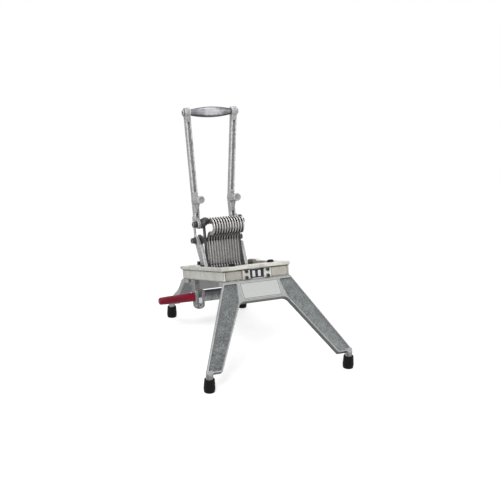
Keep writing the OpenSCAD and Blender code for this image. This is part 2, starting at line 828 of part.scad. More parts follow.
// Foot plate and upper lug of an arm, from the side
module arm_side() {
    web_pt = [-arm_eye_r, low_bolt_h - 2 * low_lug_r];
    link([0, 0], arm_eye_r, low_bolt, low_lug_r);
    link([0, 0], arm_eye_r, web_pt, low_lug_r);
    polygon([[0, 0], web_pt, low_bolt]);
    link(top_bolt, lug_r, knee + [0, -2], strap_r + 4);
}

// Thin strap that joins them behind the bolts, from the side
module arm_strap() {
    link(low_bolt - [strap_back, 0], strap_r, knee - [strap_back, 0], strap_r + 1);
}

module lever_arm() {
    groove_in = 24;
    gusset_t = 6;
    gusset_h = bar_back * 0.8;
    hub_r = bar_d / 2 + slip * 5;
    upper_l = norm(grip_pt - peg_pt);
    lower_l = norm(peg_pt - knee_pt);
    color(cast_grey) on_lever() difference() {
        union() {
            across(plate_x0, plate_x1) arm_side();
            across(plate_x1 - strap_t, plate_x1) arm_strap();
            arm_bar(peg_pt, grip_pt, groove_in, upper_l - groove_in);
            arm_bar(knee_pt, peg_pt, groove_w, lower_l - peg_r - groove_w);
            cross_bar(hub_r, peg_x - bar_w / 2, peg_x + bar_w / 2, [-bar_back, peg_h]);
            translate([peg_x, bar_back, peg_h]) rotate([90, 0, 0])
                cylinder(r = peg_r, h = bar_back + peg_reach);
            across(peg_x - gusset_t / 2, peg_x + gusset_t / 2)
                polygon([[-bar_back, peg_h], [-peg_r, peg_h], [-bar_back + bar_d / 2, peg_h - gusset_h],
                         [-bar_back, peg_h - gusset_h]]);
            cross_bar(head_r, grip_x - bar_w / 2, grip_x + bar_w / 2, [-grip_back, grip_h]);
        }
        cross_bar(shaft_r + slip, plate_x0 - over, plate_x1 + over);
        cross_bar(bolt_r + slip, plate_x0 - over, plate_x1 + over, low_bolt);
        cross_bar(bolt_r + slip, plate_x0 - over, plate_x1 + over, top_bolt);
        cross_bar(bolt_r + slip, 0, grip_x + bar_w, [-grip_back, grip_h]);
        cross_bar(grip_end_r + over, 0, grip_half, [-grip_back, grip_h]);
    }
}

module left_lever_arm() {
    mirror([1, 0, 0]) lever_arm();
}

module right_lever_arm() {
    lever_arm();
}

// Barrel grip, bored at both ends for its screws
module lever_grip() {
    steps = 16;
    bulge = grip_r - grip_end_r;
    barrel = [for (i = [0:steps])
        let (t = 2 * i / steps - 1) [grip_end_r + bulge * (1 - t * t), t * (grip_half - slip)]];
    color(cast_grey) on_lever() difference() {
        translate([0, grip_back, grip_h]) rotate([0, 90, 0]) rotate_extrude()
            polygon(concat([[0, -grip_half + slip]], barrel, [[0, grip_half - slip]]));
        both_sides() cross_bar(bolt_r + slip, grip_half - grip_bore, grip_half + over, [-grip_back, grip_h]);
    }
}

module grip_screws() {
    color(steel) on_lever() both_sides() translate([grip_x + bar_w / 2 + slip, grip_back, grip_h])
        rotate([0, -90, 0]) headed_screw(bolt_r, bar_w + grip_bore * 0.8, bolt_head_r, grip_head_h);
}

// Side plate of the pusher: a straight bar, a lobe for the lower bolt and a thick block at the top
module end_plate() {
    half = end_bar_w / 2;
    bar_top = (top_bolt + top_rod_at) / 2;
    color(dark_steel) on_lever() difference() {
        union() {
            across(end_x0, end_x1) {
                circle(tine_eye_r);
                polygon([[-half, 0], [half, 0], bar_top + [half, 0], bar_top - [half, 0]]);
                link(bar_top * low_bolt_h / bar_top[1], half * 0.7, low_bolt, lug_r + 3);
            }
            across(block_x0, plate_x0 - slip) link(top_bolt, lug_r, top_rod_at, rod_eye_r + 1.5);
        }
        cross_bar(shaft_r + slip, end_x0 - over, end_x1 + over);
        cross_bar(bolt_r + slip, end_x0 - over, end_x1 + over, low_bolt);
        cross_bar(bolt_r + slip, block_x0 - over, plate_x0 + over, top_bolt);
        cross_bar(rod_r + slip, block_x0 - over, plate_x0 + over, top_rod_at);
    }
}

module left_end_plate() {
    mirror([1, 0, 0]) end_plate();
}

module right_end_plate() {
    end_plate();
}

// A quarter or half of a ring of mean radius r, kept inside the square from lo to hi
module bend(at, r, lo, hi) {
    intersection() {
        translate(at) difference() {
            circle(r + tine_w / 2);
            circle(r - tine_w / 2);
        }
        translate(lo) square(hi - lo);
    }
}

// One tine from the side: stem, neck, hook and the run back to the top rod
module tine_outline() {
    reach = hook_r + tine_w;
    circle(tine_eye_r);
    translate([-tine_w / 2, 0]) square([tine_w, neck_h]);
    bend([neck_r, neck_h], neck_r, [-tine_w, neck_h], [neck_r, neck_h + neck_r + tine_w]);
    translate([neck_r, neck_h + neck_r - tine_w / 2]) square([hook_ahead - neck_r, tine_w]);
    bend([hook_ahead, hook_h], hook_r, [hook_ahead, hook_h - reach], [hook_ahead + reach, hook_h + reach]);
    translate([rod_ahead, rod_h - tine_w / 2]) square([hook_ahead - rod_ahead, tine_w]);
    translate(top_rod_at) circle(rod_eye_r);
}

module at_tines() {
    for (i = [0:tine_count - 1])
        translate([(i - (tine_count - 1) / 2) * pitch, 0, 0]) children();
}

module pusher_tines() {
    color(steel) on_lever() at_tines() difference() {
        across(-tine_t / 2, tine_t / 2) tine_outline();
        cross_bar(shaft_r + slip, -tine_t, tine_t);
        cross_bar(rod_r + slip, -tine_t, tine_t, top_rod_at);
    }
}

// Rings between the tines, and one at each end up to x_end
module spacers(r, bore, x_end, at) {
    gap = pitch - tine_t;
    for (i = [1:tine_count - 1])
        translate([(i - tine_count / 2) * pitch, 0, 0])
            cross_ring(r, bore, -gap / 2 + slip, gap / 2 - slip, at);
    both_sides() cross_ring(r, bore, comb_x + slip, x_end - slip, at);
}

module tine_spacers() {
    color(dark_steel) on_lever() spacers(rod_spacer_r, rod_r + slip, block_x0, top_rod_at);
}

module pivot_spacers() {
    color(dark_steel) on_lever() {
        spacers(spacer_r, shaft_r + slip, end_x0, [0, 0]);
        both_sides() cross_ring(spacer_r, shaft_r + slip, end_x1 + slip, plate_x0 - slip);
    }
}

module pivot_shaft() {
    color(steel) on_lever() cross_bar(shaft_r, -inner_x - bush_depth + proud, inner_x + bush_depth - proud);
}

module thrust_collars() {
    color(steel) on_lever() both_sides() cross_ring(collar_r, shaft_r + slip, plate_x1 + slip, collar_x1);
}

module top_rod() {
    color(steel) on_lever() cross_bar(rod_r, -plate_x0 + slip, plate_x0 - slip, top_rod_at);
}

module rear_tie_rod() {
    color(dark_steel) on_lever() cross_bar(bolt_r + 1.5, -end_x0 + slip, end_x0 - slip, low_bolt);
}

// Pair of bolts through the arms' plates, heads outside, reaching in to x_in
module arm_bolts(at, x_in) {
    seat_x = plate_x1 + washer_t + 2 * slip;
    color(steel) on_lever() both_sides() translate([seat_x, -at[0], at[1]]) rotate([0, -90, 0])
        headed_screw(bolt_r, seat_x - x_in, bolt_head_r, bolt_head_h);
}

module bolt_washers() {
    color(dark_steel) on_lever() both_sides()
        for (at = [top_bolt, low_bolt])
            cross_ring(washer_r, bolt_r + slip, plate_x1 + slip, plate_x1 + slip + washer_t, at);
}

module upper_bolts() {
    arm_bolts(top_bolt, block_x0);
}

module lower_bolts() {
    arm_bolts(low_bolt, end_x0 + slip);
}

deck_frame();
front_leg_panel();
rear_leg_panel();
name_plate();
front_left_foot();
front_right_foot();
rear_left_foot();
rear_right_foot();
leg_bolts();
left_bumper();
right_bumper();
slicing_blades();
front_blade_bar();
rear_blade_bar();
tension_clamps();
window_screws();
rear_bar_screws();
left_pivot_bush();
right_pivot_bush();
heel_pads();
left_hanger_clamp();
right_hanger_clamp();
hold_down_rod();
hold_down_sleeve();
clamp_pads();
hold_down_grip();
pinch_bolts();
left_lever_arm();
right_lever_arm();
lever_grip();
grip_screws();
left_end_plate();
right_end_plate();
pusher_tines();
tine_spacers();
pivot_spacers();
pivot_shaft();
thrust_collars();
top_rod();
rear_tie_rod();
upper_bolts();
lower_bolts();
bolt_washers();
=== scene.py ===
import math

import bpy
from mathutils import Matrix, Vector


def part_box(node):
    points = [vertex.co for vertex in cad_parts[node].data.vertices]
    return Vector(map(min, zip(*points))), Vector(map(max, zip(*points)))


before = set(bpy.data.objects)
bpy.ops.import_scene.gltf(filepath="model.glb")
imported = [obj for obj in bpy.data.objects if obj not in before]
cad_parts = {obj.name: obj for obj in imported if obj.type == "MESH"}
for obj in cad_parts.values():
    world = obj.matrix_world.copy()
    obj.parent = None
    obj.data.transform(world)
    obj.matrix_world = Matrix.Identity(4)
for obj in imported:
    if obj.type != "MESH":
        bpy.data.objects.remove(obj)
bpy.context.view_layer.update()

# Deck: the sloping open frame that carries the blades and the lever. One sand casting in
# aluminium alloy, tumbled bright, then linished along its walls and over its top. Dark lines of
# painted shade run under its lip, along its foot and round the two pockets in its front face.
ACROSS = (1.0, 0.0, 0.0)
DECK_SLOPE = math.radians(15.3)
DECK_CENTRE = Vector((0.0, 0.0565, 0.1797))
DECK_LENGTH = 0.285
DECK_HALF = 0.08
DECK_WALL = 0.008
DECK_HEIGHT = 0.032
LIP_HEIGHT = 0.008
POCKET_WIDTH = 0.041
POCKET_HEIGHT = 0.022
POCKET_MIDDLE = 0.0555
POCKET_DEPTH = 0.003
FADE = 0.001
# each pair is where a finish starts and where it is full, or the two ends of a band
FRONT_FACE = (2 * FADE, FADE)
POCKET_FLOOR = (POCKET_DEPTH - FADE, POCKET_DEPTH + FADE)
# bands of painted shade under the lip, along the foot and round the pockets
LIP_SHADE = (-LIP_HEIGHT - 0.0024, -LIP_HEIGHT + 0.0003)
FOOT_SHADE = (-DECK_HEIGHT + 0.0035, -DECK_HEIGHT + 0.0012)
POCKET_SHADE = (-0.0004, 0.0013)
POCKET_SHADE_FADE = 0.0008
SIDE_OUTSIDE = (DECK_HALF - 0.005, DECK_HALF - 0.003)
END_OUTSIDE = (DECK_LENGTH / 2 - 0.006, DECK_LENGTH / 2 - 0.005)
LINISH_LINES = (900.0, 14.0, 900.0)
DECK_LIGHT = (0.62, 0.62, 0.58, 1.0)
DECK_DARK = (0.40, 0.40, 0.37, 1.0)
DECK_TOP_LIT = (0.74, 0.728, 0.69, 1.0)
DECK_FACE_LIT = (0.78, 0.765, 0.70, 1.0)
POCKET_SHADED = (0.33, 0.32, 0.285, 1.0)
POCKET_LIT = (0.56, 0.545, 0.49, 1.0)
DECK_STAIN = (0.36, 0.33, 0.265, 1.0)
DECK_DIRT_AND_SHADE = (0.05, 0.045, 0.037, 1.0)
RUBBED_BRIGHT = (0.86, 0.85, 0.82, 1.0)
RUBBED_GLOSS = 0.14
SKIN_GLOSS = (0.07, -0.05)
SKIN_DEPTH = 0.0005


def deck_point(back, up):
    """A point of the deck's own frame: distance behind its centre and height over its top."""
    run = Vector((0.0, math.cos(DECK_SLOPE), -math.sin(DECK_SLOPE)))
    rise = Vector((0.0, math.sin(DECK_SLOPE), math.cos(DECK_SLOPE)))
    return DECK_CENTRE + run * back + rise * up


def put(tree, kind, plugs=None, **settings):
    """Adds a shader node. A plug is a value, or the output that feeds it."""
    made = tree.nodes.new("ShaderNode" + kind)
    for key, value in settings.items():
        setattr(made, key, value)
    for key, value in (plugs or {}).items():
        if isinstance(value, bpy.types.NodeSocket):
            tree.links.new(value, made.inputs[key])
        else:
            made.inputs[key].default_value = value
    return made


def calc(tree, operation, *values):
    """One step of arithmetic on one or two values."""
    return put(tree, "Math", dict(enumerate(values)), operation=operation).outputs[0]


def both(tree, a, b):
    """Two masks where they meet, or one mask times a plain share."""
    return calc(tree, "MULTIPLY", a, b)


def spread(tree, value, low, high, to_low=0.0, to_high=1.0):
    """Carries a value from the range low to high over to another range, and stops at its ends."""
    plugs = {"Value": value, "From Min": low, "From Max": high, "To Min": to_low, "To Max": to_high}
    return put(tree, "MapRange", plugs).outputs[0]


def tint(tree, share, a, b):
    """Colour a, with a share of colour b laid over it."""
    return put(tree, "Mix", {0: share, 6: a, 7: b}, data_type="RGBA").outputs[2]


def here(tree):
    """The place on the piece that is being shaded, in metres."""
    return put(tree, "TexCoord").outputs["Object"]


def noise(tree, place, scale, detail=2.0):
    """Cloudy noise from 0 to 1, with scale as its number of clouds to a metre."""
    return put(tree, "TexNoise", {"Vector": place, "Scale": scale, "Detail": detail}).outputs["Fac"]


def streaks(tree, scales, slope=0.0, detail=2.0):
    """Noise drawn out into lines by its scale on each axis, after a turn to a slope."""
    drawn = put(tree, "Mapping", {"Vector": here(tree), "Rotation": (slope, 0.0, 0.0), "Scale": scales})
    return noise(tree, drawn.outputs[0], 1.0, detail)


def within(tree, value, low, high, soft):
    """One where a value lies between low and high, fading out over soft."""
    return both(tree, spread(tree, value, low - soft, low), spread(tree, value, high + soft, high))


def along(tree, direction, point=None, source="Object"):
    """How far a place lies along a direction from a point, or how squarely a face looks that way."""
    spot = put(tree, "TexCoord").outputs[source]
    if point is not None:
        spot = put(tree, "VectorMath", {0: spot, 1: point}, operation="SUBTRACT").outputs[0]
    return put(tree, "VectorMath", {0: spot, 1: direction}, operation="DOT_PRODUCT").outputs["Value"]


def new_effect(name, inputs, outputs):
    """An empty shader group with named number sockets, and its two end nodes."""
    tree = bpy.data.node_groups.new(name, "ShaderNodeTree")
    for label, value in inputs.items():
        socket = tree.interface.new_socket(label, in_out="INPUT", socket_type="NodeSocketFloat")
        socket.default_value = value
    for label in outputs:
        tree.interface.new_socket(label, in_out="OUTPUT", socket_type="NodeSocketFloat")
    return tree, tree.nodes.new("NodeGroupInput"), tree.nodes.new("NodeGroupOutput")


# the skin of a sand casting: clouds of tone, a mottle, a speckle, a fine grain and scattered pits
sand_skin, ends, out = new_effect("sand skin", {"Grain": 1.0}, ("Tone", "Pits", "Height"))
sized = put(sand_skin, "VectorMath", {0: here(sand_skin), "Scale": ends.outputs["Grain"]},
            operation="SCALE").outputs[0]
clouds = noise(sand_skin, sized, scale=50.0, detail=3.0)
mottle = noise(sand_skin, sized, scale=260.0, detail=3.0)
speckle = noise(sand_skin, sized, scale=700.0, detail=1.0)
grain = noise(sand_skin, sized, scale=1800.0)
cells = put(sand_skin, "TexVoronoi", {"Vector": sized, "Scale": 380.0}).outputs["Distance"]
pits = both(sand_skin, spread(sand_skin, cells, 0.24, 0.08), spread(sand_skin, clouds, 0.48, 0.58))
blend = calc(sand_skin, "ADD", both(sand_skin, clouds, 0.2), both(sand_skin, mottle, 0.4))
blend = calc(sand_skin, "ADD", blend, both(sand_skin, speckle, 0.4))
lumps = calc(sand_skin, "ADD", grain, both(sand_skin, mottle, 2.0))
sand_skin.links.new(spread(sand_skin, blend, 0.38, 0.62), out.inputs["Tone"])
sand_skin.links.new(pits, out.inputs["Pits"])
sand_skin.links.new(calc(sand_skin, "SUBTRACT", lumps, pits), out.inputs["Height"])

# bright metal where handling has rubbed the outer edges
rubbed_edge, ends, out = new_effect("rubbed edge", {"Reach": 0.002}, ("Mask",))
inside = put(rubbed_edge, "AmbientOcclusion", {"Distance": ends.outputs["Reach"]},
             inside=True, only_local=True, samples=8)
patches = noise(rubbed_edge, here(rubbed_edge), scale=160.0, detail=3.0)
worn = spread(rubbed_edge, inside.outputs["AO"], 0.92, 0.55)
wear_and_reflection = both(rubbed_edge, worn, spread(rubbed_edge, patches, 0.3, 0.55))
rubbed_edge.links.new(wear_and_reflection, out.inputs["Mask"])

# dull dirt and painted shade that stay in corners and hollows
corner_dirt_and_shade, ends, out = new_effect("corner dirt and shade", {"Reach": 0.008}, ("Mask",))
open_air = put(corner_dirt_and_shade, "AmbientOcclusion", {"Distance": ends.outputs["Reach"]},
               only_local=True, samples=8)
patches = noise(corner_dirt_and_shade, here(corner_dirt_and_shade), scale=120.0, detail=4.0)
held = spread(corner_dirt_and_shade, open_air.outputs["AO"], 0.88, 0.38)
kept = both(corner_dirt_and_shade, held, spread(corner_dirt_and_shade, patches, 0.2, 0.5, 0.45, 1.0))
corner_dirt_and_shade.links.new(kept, out.inputs["Mask"])


def worn_metal(name, light, dark, dirt_and_shade, metal, rough, relief, rub,
               soil_and_shade=0.85, reach=0.008, edge_reach=0.0022, pitting=0.6):
    """A cast or machined metal. Its light and dark tones meet in the node called tone."""
    material = bpy.data.materials.new(name)
    material.use_nodes = True
    tree = material.node_tree
    surface = tree.nodes["Principled BSDF"]
    surface.inputs["Metallic"].default_value = metal
    skin = put(tree, "Group", node_tree=sand_skin)
    edge = put(tree, "Group", {"Reach": edge_reach}, node_tree=rubbed_edge)
    grime_and_shade = put(tree, "Group", {"Reach": reach}, node_tree=corner_dirt_and_shade)
    tone = put(tree, "Mix", {0: skin.outputs["Tone"], 6: dark, 7: light}, data_type="RGBA", name="tone")
    pitted = tint(tree, both(tree, skin.outputs["Pits"], pitting), tone.outputs[2], dirt_and_shade)
    bright = tint(tree, both(tree, edge.outputs["Mask"], rub), pitted, RUBBED_BRIGHT)
    # corners and hollows are darkened with dirt and painted shade
    soiled = tint(tree, both(tree, grime_and_shade.outputs["Mask"], soil_and_shade), bright, dirt_and_shade)
    tree.links.new(soiled, surface.inputs["Base Color"])
    gloss = spread(tree, skin.outputs["Tone"], 0.0, 1.0, rough + SKIN_GLOSS[0], rough + SKIN_GLOSS[1])
    gloss = calc(tree, "SUBTRACT", gloss, both(tree, edge.outputs["Mask"], RUBBED_GLOSS))
    tree.links.new(gloss, surface.inputs["Roughness"])
    bump = put(tree, "Bump", {"Height": skin.outputs["Height"], "Strength": relief, "Distance": SKIN_DEPTH})
    tree.links.new(bump.outputs["Normal"], surface.inputs["Normal"])
    return material


def lay_over(material, share, colour):
    """Lays a further colour over the tone of a metal, where share says."""
    tree = material.node_tree
    tone = tree.nodes["tone"].outputs[2]
    onward = [link.to_socket for link in tone.links]
    over = tint(tree, share, tone, colour)
    for socket in onward:
        tree.links.new(over, socket)
    tree.nodes["tone"].name = "lower tone"
    over.node.name = "tone"


def cast_skin(names, grain, passes):
    """Gives CAD nodes one soft skin with rounded edges and filled corners, as a sand mould leaves it."""
    for name in names:
        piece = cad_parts[name]
        skin = piece.modifiers.new("skin", "REMESH")
        skin.mode = "VOXEL"
        skin.voxel_size = grain
        skin.use_smooth_shade = True
        tumbled = piece.modifiers.new("tumbled", "SMOOTH")
        tumbled.factor = 0.5
        tumbled.iterations = passes
        piece.modifiers.new("thinned", "DECIMATE").ratio = 0.3
        piece.modifiers.new("shade", "WEIGHTED_NORMAL").keep_sharp = False


def finish_with(material, names):
    """Gives CAD nodes their one material."""
    for name in names:
        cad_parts[name].data.materials.clear()
        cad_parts[name].data.materials.append(material)


deck_alloy = worn_metal("deck alloy", DECK_LIGHT, DECK_DARK, DECK_DIRT_AND_SHADE, metal=0.4, rough=0.42,
                        relief=0.25, rub=0.45, soil_and_shade=1.0, reach=0.010)
tree = deck_alloy.node_tree
deck_up = deck_point(0.0, 1.0) - deck_point(0.0, 0.0)
deck_ahead = deck_point(-1.0, 0.0) - deck_point(0.0, 0.0)
height = along(tree, deck_up, deck_point(0.0, 0.0))
behind = both(tree, along(tree, deck_ahead, deck_point(-DECK_LENGTH / 2, 0.0)), -1.0)
aside = calc(tree, "ABSOLUTE", along(tree, ACROSS))
off_middle = calc(tree, "ABSOLUTE", calc(tree, "SUBTRACT", behind, DECK_LENGTH / 2))
facing_front = spread(tree, along(tree, deck_ahead, source="Normal"), 0.6, 0.9)
facing_up = spread(tree, along(tree, deck_up, source="Normal"), 0.35, 0.9)
patches = noise(tree, here(tree), scale=90.0, detail=3.0)
lines = streaks(tree, LINISH_LINES, DECK_SLOPE)
lay_over(deck_alloy, spread(tree, lines, 0.52, 0.68, 0.0, 0.5), DECK_DARK)

# the front face is painted lighter as light, its pockets are painted darker on the left as shade and
# lighter on the right as light, and the top is linished and painted lightest as light from above
on_face = both(tree, facing_front, spread(tree, behind, *FRONT_FACE))
lay_over(deck_alloy, both(tree, on_face, spread(tree, patches, 0.3, 0.6, 0.95, 0.55)), DECK_FACE_LIT)
sunk = both(tree, facing_front, within(tree, behind, *POCKET_FLOOR, FADE))
# pockets: painted shade on the left, painted light on the right
painted_light_to_right = spread(tree, along(tree, ACROSS), -DECK_HALF, DECK_HALF)
pocket_tone = tint(tree, painted_light_to_right, POCKET_SHADED, POCKET_LIT)
lay_over(deck_alloy, both(tree, sunk, spread(tree, patches, 0.35, 0.65, 0.95, 0.6)), pocket_tone)
# the top is painted lighter as light from above, along the linish lines
lay_over(deck_alloy, both(tree, facing_up, spread(tree, lines, 0.35, 0.6, 0.95, 0.6)), DECK_TOP_LIT)
stains = noise(tree, here(tree), scale=34.0, detail=4.0)
stained = both(tree, spread(tree, stains, 0.5, 0.66), 0.45)
lay_over(deck_alloy, both(tree, stained, spread(tree, facing_up, 0.0, 1.0, 1.0, 0.35)), DECK_STAIN)

# lines of painted shade, on the outside of the walls only
under_lip = within(tree, height, *LIP_SHADE, FADE)
at_foot = spread(tree, height, *FOOT_SHADE)
from_end = calc(tree, "ABSOLUTE", calc(tree, "SUBTRACT", aside, POCKET_MIDDLE))
from_end = calc(tree, "SUBTRACT", POCKET_WIDTH / 2, from_end)
from_rim = calc(tree, "ABSOLUTE", calc(tree, "ADD", height, (DECK_HEIGHT + LIP_HEIGHT) / 2))
from_rim = calc(tree, "SUBTRACT", POCKET_HEIGHT / 2, from_rim)
round_pocket = within(tree, calc(tree, "MINIMUM", from_end, from_rim), *POCKET_SHADE, POCKET_SHADE_FADE)
round_pocket = both(tree, round_pocket, facing_front)
shade_lines = calc(tree, "MAXIMUM", calc(tree, "MAXIMUM", under_lip, at_foot), round_pocket)
outside = calc(tree, "MAXIMUM", spread(tree, aside, *SIDE_OUTSIDE), spread(tree, off_middle, *END_OUTSIDE))
shade_lines = both(tree, shade_lines, outside)
lay_over(deck_alloy, both(tree, shade_lines, spread(tree, patches, 0.35, 0.68, 1.0, 0.45)), DECK_DIRT_AND_SHADE)
cast_skin(["deck_frame"], grain=0.001, passes=4)
finish_with(deck_alloy, ["deck_frame"])

# Leg panels: front and rear are one casting each, two splayed legs joined by a web and bolted
# under the deck. The sunk faces are left grey from the mould and painted darker to the left as shade,
# the rims are ground bright, and the edges that look down are painted dark as shade.
LEG_HALF = 0.007
LEG_END = 0.038
LEG_SUNK = (LEG_HALF - 0.0008, LEG_HALF - 0.0022)
WEB_FADE = (0.062, 0.05)
LEG_SPREAD = 0.15
SIDE_LIGHT_SHIFT = 0.12
LEG_LIGHT = (0.42, 0.43, 0.43, 1.0)
LEG_DARK = (0.25, 0.26, 0.265, 1.0)
WEB_TONES = ((0.30, 0.305, 0.30, 1.0), (0.44, 0.445, 0.43, 1.0))
FRONT_SUNK = ((0.06, 0.067, 0.07, 1.0), (0.265, 0.28, 0.285, 1.0))
REAR_SUNK = ((0.19, 0.187, 0.198, 1.0), (0.38, 0.374, 0.388, 1.0))
LEG_PAINTED_SHADE = (0.045, 0.044, 0.047, 1.0)
LEG_DIRT_AND_SHADE = (0.05, 0.05, 0.05, 1.0)


def middle_of(name):
    """The centre of a CAD node's box."""
    low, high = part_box(name)
    return (low + high) / 2


def leg_plane(side):
    """Where a leg panel starts under the deck, and the way down it. Side is -1 in front and 1 behind."""
    top = deck_point(side * (DECK_LENGTH / 2 - DECK_WALL), -DECK_HEIGHT)
    foot_line = abs(middle_of("front_left_foot").y)
    return top, (Vector((0.0, side * foot_line, LEG_END)) - top).normalized()


for name, side, sunk_tones in (("front_leg_panel", -1, FRONT_SUNK), ("rear_leg_panel", 1, REAR_SUNK)):
    top, down = leg_plane(side)
    outward = Vector((0.0, side * -down.z, side * down.y))
    alloy = worn_metal(name + " alloy", LEG_LIGHT, LEG_DARK, LEG_DIRT_AND_SHADE, metal=0.35, rough=0.48,
                       relief=0.3, rub=0.35, soil_and_shade=0.8, reach=0.006)
    tree = alloy.node_tree
    out_from_middle = along(tree, outward, top)
    square = calc(tree, "ABSOLUTE", along(tree, outward, source="Normal"))
    flat = spread(tree, square, 0.6, 0.85)
    skin = put(tree, "Group", {"Grain": 1.2}, node_tree=sand_skin)
    on_web = both(tree, spread(tree, along(tree, down, top), *WEB_FADE), flat)
    lay_over(alloy, both(tree, on_web, 0.8), tint(tree, skin.outputs["Tone"], *WEB_TONES))
    depth = calc(tree, "ABSOLUTE", out_from_middle)
    sunk = both(tree, spread(tree, depth, *LEG_SUNK), flat)
    # the sunk faces are painted darker on the left and lighter on the right, as light falls from the right
    painted_light_to_right = spread(tree, along(tree, ACROSS), -LEG_SPREAD, LEG_SPREAD, -SIDE_LIGHT_SHIFT, SIDE_LIGHT_SHIFT)
    lay_over(alloy, sunk, tint(tree, calc(tree, "ADD", skin.outputs["Tone"], painted_light_to_right), *sunk_tones))
    # edges that look down are painted dark as shade
    looks_down = spread(tree, along(tree, down, source="Normal"), 0.2, 0.5)
    under = both(tree, looks_down, spread(tree, square, 0.75, 0.45))
    inward = spread(tree, out_from_middle, -LEG_HALF, LEG_HALF, 0.98, 0.75)
    lay_over(alloy, both(tree, under, inward), LEG_PAINTED_SHADE)
    cast_skin([name], grain=0.001, passes=4)
    finish_with(alloy, [name])

# Name plate: a thin aluminium plate stuck on the front web. Brushed along its length and left bare
# inside one engraved border line.
PLATE_HEIGHT = 0.041
PLATE_DROP = 0.009
BORDER_IN = 0.0022
BORDER_WIDTH = 0.001
PLATE_LINES = (8.0, 700.0, 700.0)
PLATE_LIGHT = (0.56, 0.57, 0.56, 1.0)
PLATE_DARK = (0.50, 0.51, 0.50, 1.0)
PLATE_BRUSHED = (0.40, 0.41, 0.41, 1.0)
PLATE_BORDER = (0.12, 0.13, 0.13, 1.0)


def soften(names, radius, steps=3):
    """Joins the faces of CAD nodes and rounds their sharp edges, as turning or tumbling leaves them."""
    for name in names:
        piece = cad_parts[name]
        piece.modifiers.new("join", "WELD").merge_threshold = 1e-6
        flat = piece.modifiers.new("flat", "DECIMATE")
        flat.decimate_type = "DISSOLVE"
        flat.angle_limit = math.radians(0.4)
        edge = piece.modifiers.new("edge", "BEVEL")
        edge.width = radius
        edge.segments = steps
        edge.limit_method = "ANGLE"
        edge.angle_limit = math.radians(35)
        edge.use_clamp_overlap = True
        edge.miter_outer = "MITER_ARC"
        piece.modifiers.new("shade", "WEIGHTED_NORMAL").keep_sharp = False


plate_alloy = worn_metal("plate alloy", PLATE_LIGHT, PLATE_DARK, LEG_DIRT_AND_SHADE, metal=0.4, rough=0.36,
                         relief=0.02, rub=0.4, edge_reach=0.0004, pitting=0.0)
tree = plate_alloy.node_tree
plate_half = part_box("name_plate")[1].x
top, down = leg_plane(-1)
middle = top + down * (PLATE_DROP + PLATE_HEIGHT / 2)
from_side = calc(tree, "SUBTRACT", plate_half, calc(tree, "ABSOLUTE", along(tree, ACROSS)))
from_end = calc(tree, "SUBTRACT", PLATE_HEIGHT / 2, calc(tree, "ABSOLUTE", along(tree, down, middle)))
from_edge = calc(tree, "MINIMUM", from_side, from_end)
off_line = calc(tree, "ABSOLUTE", calc(tree, "SUBTRACT", from_edge, BORDER_IN))
lay_over(plate_alloy, spread(tree, streaks(tree, PLATE_LINES), 0.45, 0.7, 0.0, 0.3), PLATE_BRUSHED)
lay_over(plate_alloy, spread(tree, off_line, BORDER_WIDTH, BORDER_WIDTH / 2, 0.0, 0.8), PLATE_BORDER)
soften(["name_plate"], radius=0.0004)
finish_with(plate_alloy, ["name_plate"])

# Rubber: the four feet pushed on the legs' posts, the two bumpers that stop the lever in front,
# and the two pads it leans on behind. Moulded black, with a dry bloom.
RUBBER_PIECES = ("front_left_foot", "front_right_foot", "rear_left_foot", "rear_right_foot",
                 "left_bumper", "right_bumper", "heel_pads")
RUBBER_BLACK = (0.003, 0.003, 0.003, 1.0)
RUBBER_BLOOM = (0.0075, 0.0073, 0.007, 1.0)
rubber = bpy.data.materials.new("moulded rubber")
rubber.use_nodes = True
tree = rubber.node_tree
surface = tree.nodes["Principled BSDF"]
surface.inputs["Specular IOR Level"].default_value = 0.12
bloom = noise(tree, here(tree), scale=130.0, detail=4.0)
grit = noise(tree, here(tree), scale=2200.0, detail=1.0)
bloomed = tint(tree, spread(tree, bloom, 0.42, 0.68), RUBBER_BLACK, RUBBER_BLOOM)
tree.links.new(bloomed, surface.inputs["Base Color"])
tree.links.new(spread(tree, bloom, 0.3, 0.7, 0.42, 0.62), surface.inputs["Roughness"])
bump = put(tree, "Bump", {"Height": grit, "Strength": 0.2, "Distance": 0.0002})
tree.links.new(bump.outputs["Normal"], surface.inputs["Normal"])
soften(RUBBER_PIECES, radius=0.0008)
finish_with(rubber, RUBBER_PIECES)

# Fasteners: zinc plated socket screws that hold the legs, the rear blade bar, the hangers and the
# lever's grip. Their sockets and roots are dark with grease and painted shade.
ZINC_PIECES = ("leg_bolts", "rear_bar_screws", "pinch_bolts", "grip_screws")
ZINC_LIGHT = (0.46, 0.46, 0.46, 1.0)
ZINC_DARK = (0.16, 0.16, 0.165, 1.0)
ZINC_DIRT_AND_SHADE = (0.012, 0.012, 0.012, 1.0)
zinc = worn_metal("zinc plate", ZINC_LIGHT, ZINC_DARK, ZINC_DIRT_AND_SHADE, metal=0.9, rough=0.3,
                  relief=0.06, rub=0.4, soil_and_shade=1.0, reach=0.006, edge_reach=0.0012)
soften(ZINC_PIECES, radius=0.0004, steps=2)
finish_with(zinc, ZINC_PIECES)

# Lever bolts: black oxide cap screws that go through the arms' lugs into the end plates. The corners
# of their heads are rubbed bare by the key.
BOLT_PIECES = ("upper_bolts", "lower_bolts")
BOLT_LIGHT = (0.15, 0.15, 0.155, 1.0)
BOLT_DARK = (0.05, 0.05, 0.053, 1.0)
BOLT_DIRT_AND_SHADE = (0.008, 0.008, 0.008, 1.0)
bolt_steel = worn_metal("oxide steel", BOLT_LIGHT, BOLT_DARK, BOLT_DIRT_AND_SHADE, metal=0.7, rough=0.32,
                        relief=0.05, rub=0.45, soil_and_shade=1.0, reach=0.006, edge_reach=0.0014)
soften(BOLT_PIECES, radius=0.0004, steps=2)
finish_with(bolt_steel, BOLT_PIECES)

